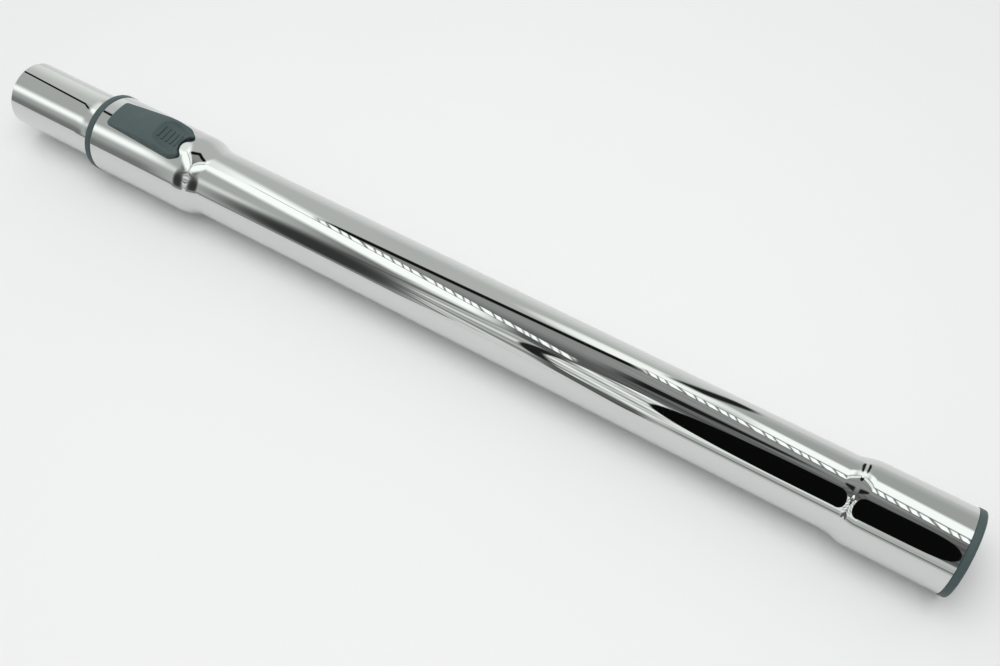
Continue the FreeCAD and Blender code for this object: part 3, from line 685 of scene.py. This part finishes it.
class TentPainting:
    """Brightness of the light tent, laid on area by area, as the middle of the wand mirrors it.

    along is the lean of the view along the wand, from -1 to 1, and height its angle over the near
    horizon in degrees, so that 90 is straight up and 180 the far horizon.
    """

    def __init__(self, along, height):
        self.along = along
        self.height = height
        self.roof_edge = self.over_line(-0.452, 104.8, 72.4)
        self.first_row = self.over_line(-0.459, 99.8, -148.0)
        self.second_row = self.over_line(-0.155, 127.5, -117.0)

    def over_line(self, at, value, slope):
        """How far the height is over a straight line, which has a value at one place along."""
        return self.height - (value + slope * (self.along - at))

    def oval(self, at, reach, value, spread):
        """Under 1 inside an oval with its middle at a place along and a height."""
        over_reach = (self.along - at) / reach
        over_spread = (self.height - value) / spread
        return over_reach * over_reach + over_spread * over_spread

    def far_wall(self):
        """Far wall, with the glow of the lamps on it."""
        along, height = self.along, self.height
        tone = 0.63 + 0.24 * height.step(152.0, 186.0) - 0.14 * along.step(-0.12, -0.03)
        tone = lay_over(tone, self.oval(-0.165, 0.13, 137.0, 17.0).step(1.0, 0.1), 1.35)
        glow = self.second_row.step(6.0, 9.0) * self.over_line(-0.04, 138.0, -95.0).step(5.0, -3.0)
        return lay_over(tone, glow * along.step(-0.09, -0.03), 1.42)

    def roof(self, tone):
        """Roof between the two rows of lamps, with a painted shadow on the roof, darkest on the right."""
        along, height = self.along, self.height
        under_roof = self.roof_edge.step(0.5, -0.5) * self.second_row.step(0.5, -0.5)
        folds = (height * 0.9 + along * 30.0).sine() * (height * 0.37).sine() * along.step(-0.22, -0.16)
        tone = lay_over(tone, under_roof, 0.14 + 0.06 * folds + 0.23 * height.step(70.0, 99.0))
        # painted shadow on the roof: a dark wedge of shade on its right side
        painted_roof_shadow = (7.0 - 28.0 * (along + 0.16)) - abs(self.over_line(-0.12, 87.0, 22.0))
        return lay_over(tone, painted_roof_shadow.step(-2.5, 2.0) * along.band(-0.175, 0.01, 0.03), 0.015)

    def near_side(self, tone):
        """Near side on the left: soft bright band, dark blur with streaks, and a white panel."""
        along, height = self.along, self.height
        fan = (height - 34.0) / (along + 0.475)
        streaks = 0.62 + 0.42 * (fan * 0.075).sine() * (fan * 0.031 + 1.0).sine()
        dark_line = self.over_line(-0.40, 46.0, 85.0).band(-2.0, 2.0, 2.5)
        near = 0.56 - 0.3 * along.step(-0.49, -0.41)
        near = lay_over(near, height.band(38.0, 50.0, 8.0) * along.step(-0.46, -0.53), 1.0)
        near = lay_over(near, along.step(-0.40, -0.34), streaks)
        near = lay_over(near, dark_line * along.band(-0.43, -0.285, 0.015), 0.15)
        near = lay_over(near, self.oval(-0.452, 0.11, 22.0, 33.0).step(1.0, 0.05), 0.05)
        near = lay_over(near, height.step(9.0, 3.0), 0.3)
        panel_foot = self.over_line(-0.56, 87.0, -150.0).least(self.over_line(-0.404, 62.0, -62.0))
        tone = lay_over(tone, panel_foot.step(3.0, -3.0) * along.step(-0.225, -0.26), near)
        under_slope = self.over_line(-0.51, 118.0, -250.0).step(11.0, -9.0)
        panel_top = under_slope.most(self.first_row.step(0.5, -0.5))
        panel = 1.45 - 0.35 * along.step(-0.50, -0.56) * height.step(97.0, 104.0)
        return lay_over(tone, panel_foot.step(-7.0, 5.0) * panel_top * along.step(-0.26, -0.32), panel)

    def left_wall(self, tone):
        """Left wall with its dark seam, seen by the plain end and the lock end."""
        height = self.height
        wall = 0.54 + 0.9 * height.band(40.0, 58.0, 8.0) - 0.3 * height.step(34.0, 10.0)
        wall = lay_over(wall, height.step(104.0, 112.0), 0.68 + 0.3 * height.step(120.0, 172.0))
        wall = lay_over(wall, self.over_line(-0.672, 112.0, -214.0).band(-3.4, 3.4, 0.8), 0.008)
        return lay_over(tone, self.along.step(-0.562, -0.60), wall)

    def roof_trim(self, tone):
        """Dark edge of the roof."""
        trim = self.roof_edge.band(-7.0, 3.2, 1.6) * self.along.band(-0.455, -0.16, 0.012)
        return lay_over(tone, trim, 0.008)

    def lamp_rows(self, tone):
        """Two rows of lamps, beaded along their length, each between two dark lines."""
        along, height = self.along, self.height
        for row, begin, end, pitch in ((self.first_row, -0.458, -0.214, 700.0),
                                       (self.second_row, -0.155, 0.17, 590.0)):
            uneven = 1.3 * (along * pitch * 0.137).sine() + 0.9 * (along * pitch * 0.31).sine()
            beads = (along * pitch + height * 0.3 + uneven).sine().step(-0.95, -0.3)
            tone = lay_over(tone, row.band(-6.0, 5.6, 0.7) * along.band(begin, end, 0.008), 0.12)
            tone = lay_over(tone, row.band(-4.6, 4.4, 0.8) * along.band(begin, end, 0.004),
                            0.3 + 1.2 * beads)
        lead = self.first_row.band(-5.8, -4.6, 0.6) * along.band(-0.515, -0.44, 0.01)
        return lay_over(tone, lead, 0.1)

    def flap(self, tone):
        """White flap beside the opening, with its dark hem."""
        along, height = self.along, self.height
        flap = self.oval(-0.10, 0.152, 37.0, 26.0)
        hem_tip = flap.band(0.84, 1.18, 0.05) * height.band(24.0, 52.0, 4.0) * along.step(-0.19, -0.21)
        hem_line = flap.band(0.99, 1.07, 0.03) * height.step(40.0, 30.0) * along.step(-0.08, -0.14)
        flow = (height * 0.55 + along * 60.0).sine() * (height * 0.23 - along * 25.0).sine()
        tone = lay_over(tone, flap.step(1.03, 0.97), 0.85 + 0.5 * flow)
        return lay_over(tone, hem_tip.most(hem_line), 0.02)

    def low_bands(self, tone):
        """Low bands on the right, under the opening."""
        height = self.height
        right = self.along.step(-0.15, -0.10)
        tone = lay_over(tone, height.step(26.0, 24.0) * right, 1.08 - 0.4 * self.along.step(0.03, 0.08))
        tone = lay_over(tone, height.step(18.0, 15.0) * right, 0.6)
        return lay_over(tone, height.band(4.5, 8.0, 1.5) * right, 0.18)

    def opening(self, tone):
        """Dark opening, pointed on the left and blunt on the right."""
        left_end = self.along.least(0.0) / 0.138
        right_end = (self.along.most(0.0) / 0.151) ** 14.0
        over = self.over_line(0.0, 47.5, 15.0) / 26.5
        rim = left_end * left_end + right_end + over * over
        return lay_over(tone, rim.step(1.05, 0.97), 0.004)

    def table_edge(self, tone):
        """Pale table that turns up at the near edge."""
        return lay_over(tone, (self.height + 140.0 * abs(self.along + 0.27)).step(15.6, 14.4), 0.85)

    def clip(self, tone):
        """Small dark clip on the far wall."""
        clip = self.over_line(-0.087, 162.0, 520.0).band(-14.0, 9.0, 5.0)
        clip = clip * self.height.band(143.0, 178.0, 5.0) * self.along.band(-0.14, -0.05, 0.01)
        return lay_over(tone, clip, 0.02)

    def whole(self):
        """The whole painting, from the far wall to what hangs before it."""
        tone = self.far_wall()
        for lay_on in (self.roof, self.near_side, self.left_wall, self.roof_trim, self.lamp_rows,
                       self.flap, self.low_bands, self.opening, self.table_edge, self.clip):
            tone = lay_on(tone)
        return tone


def tent_finish(stage):
    """Glow of the tent's wall, painted by its place along and around the wand."""
    material, start, output = new_material("light_tent")
    material.cycles.emission_sampling = "NONE"
    place = start.make("ShaderNodeTexCoord", output=3)
    parts = start.make("ShaderNodeSeparateXYZ", {"Vector": place}).socket.node.outputs
    far_along, across, up = (Signal(start.tree, socket) for socket in parts)
    slope = (far_along - stage.tent_middle) / stage.tent_reach
    along = slope / start.math("SQRT", slope * slope + 1.0)
    height = start.math("ARCTAN2", up, 0.0 - across) * (180.0 / math.pi)
    brightest = 1.5
    colour = mix_colour(start, TentPainting(along, height).whole() / brightest,
                        (0.0, 0.0, 0.0, 1.0), rgba(stage.tent_colour))
    shader = start.make("ShaderNodeEmission", {"Color": colour, "Strength": brightest})
    close_material(start, output, shader)
    return material


def make_tent(stage):
    """Round wall of a light tent over the wand, which only the chrome mirrors."""
    shape = bmesh.new()
    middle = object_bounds()[0].lerp(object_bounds()[1], 0.5).x
    ends = [shape.verts.new((middle + side * stage.tent_length / 2, -stage.tent_radius, 0.0))
            for side in (-1, 1)]
    shape.edges.new(ends)
    bmesh.ops.spin(shape, geom=shape.verts[:] + shape.edges[:], axis=(-1.0, 0.0, 0.0),
                   cent=(0.0, 0.0, 0.0), angle=math.pi, steps=TENT_STEPS)
    mesh = bpy.data.meshes.new("light_tent")
    shape.to_mesh(mesh)
    shape.free()
    mesh.shade_smooth()
    mesh.materials.append(tent_finish(stage))
    tent = bpy.data.objects.new("light_tent", mesh)
    tent.visible_camera = False
    tent.visible_diffuse = False
    tent.visible_transmission = False
    tent.visible_shadow = False
    bpy.context.scene.collection.objects.link(tent)
    tent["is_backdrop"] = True
    return tent


def make_room(stage):
    """Soft light from all round, strongest from above and the far left, on a pale backdrop."""
    world = bpy.data.worlds.new("soft_room")
    bpy.context.scene.world = world
    world.use_nodes = True
    tree = world.node_tree
    tree.nodes.clear()
    start = Signal(tree)
    direction = start.make("ShaderNodeTexCoord", output=0)
    parts = start.make("ShaderNodeSeparateXYZ", {"Vector": direction}).socket.node.outputs
    along, across, up = (Signal(tree, socket) for socket in parts)
    lean = stage.room_lean[0] * along + stage.room_lean[1] * across + stage.room_lean[2] * up
    soft = stage.room_light * (1.0 - stage.room_shading + stage.room_shading * lean)
    even = start.make("ShaderNodeBackground", {"Color": (1.0, 1.0, 1.0, 1.0), "Strength": soft})
    backdrop = start.make("ShaderNodeBackground", {"Color": rgba(stage.table_colour), "Strength": 1.0})
    room = start.make("ShaderNodeMixShader", {0: seen_by_eye(start), 1: even, 2: backdrop})
    output = tree.nodes.new("ShaderNodeOutputWorld")
    tree.links.new(room.socket, output.inputs["Surface"])
    return world


def make_camera(stage):
    """Camera at the angle of the picture."""
    lens = bpy.data.cameras.new("picture_camera")
    lens.sensor_fit = "HORIZONTAL"
    lens.sensor_width = PICTURE_WIDTH
    lens.lens = stage.camera_lens
    lens.clip_start = 0.01
    camera = bpy.data.objects.new("picture_camera", lens)
    ahead = (Vector(stage.camera_aim) - Vector(stage.camera_place)).normalized()
    level = ahead.cross(Vector((0.0, 0.0, 1.0))).normalized()
    upright = level.cross(ahead)
    right = level * math.cos(stage.camera_roll) + upright * math.sin(stage.camera_roll)
    turn = Matrix((right, right.cross(ahead), -ahead)).transposed()
    camera.matrix_world = Matrix.Translation(stage.camera_place) @ turn.to_4x4()
    bpy.context.scene.collection.objects.link(camera)
    bpy.context.scene.camera = camera
    return camera


class WAND_OT_stage(bpy.types.Operator):
    """Set the table, the light and the camera around the wand"""

    bl_idname = "wand.stage"
    bl_label = "Table, light and camera"

    def execute(self, context):
        stage = context.scene.wand_stage
        make_table(stage)
        make_lamp(stage)
        make_room(stage)
        make_tent(stage)
        make_camera(stage)
        context.scene.view_settings.view_transform = "Standard"
        return {"FINISHED"}


class WAND_PT_sidebar(bpy.types.Panel):
    """Buttons and settings of the wand"""

    bl_idname = "WAND_PT_sidebar"
    bl_label = "Telescopic wand"
    bl_space_type = "VIEW_3D"
    bl_region_type = "UI"
    bl_category = "Wand"

    def draw(self, context):
        for operator in OPERATORS:
            self.layout.operator(operator.bl_idname)
        for group in (context.scene.wand_sizes, context.scene.wand_finish, context.scene.wand_stage):
            box = self.layout.box()
            for name in group.__annotations__:
                box.prop(group, name)


GROUPS = (WandSizes, WandFinish, WandStage)
OPERATORS = (WAND_OT_chromed_tubes, WAND_OT_moulded_pieces, WAND_OT_lock_pieces, WAND_OT_stage)


def register():
    for item in (*GROUPS, *OPERATORS, WAND_PT_sidebar):
        bpy.utils.register_class(item)
    bpy.types.Scene.wand_sizes = bpy.props.PointerProperty(type=WandSizes)
    bpy.types.Scene.wand_finish = bpy.props.PointerProperty(type=WandFinish)
    bpy.types.Scene.wand_stage = bpy.props.PointerProperty(type=WandStage)


def unregister():
    del bpy.types.Scene.wand_stage
    del bpy.types.Scene.wand_finish
    del bpy.types.Scene.wand_sizes
    for item in reversed((*GROUPS, *OPERATORS, WAND_PT_sidebar)):
        bpy.utils.unregister_class(item)


def main():
    """Register and build the wand in order."""
    register()
    bpy.ops.wand.chromed_tubes()
    bpy.ops.wand.moulded_pieces()
    bpy.ops.wand.lock_pieces()
    bpy.ops.wand.stage()
    bpy.context.view_layer.update()


if __name__ == "__main__":
    main()
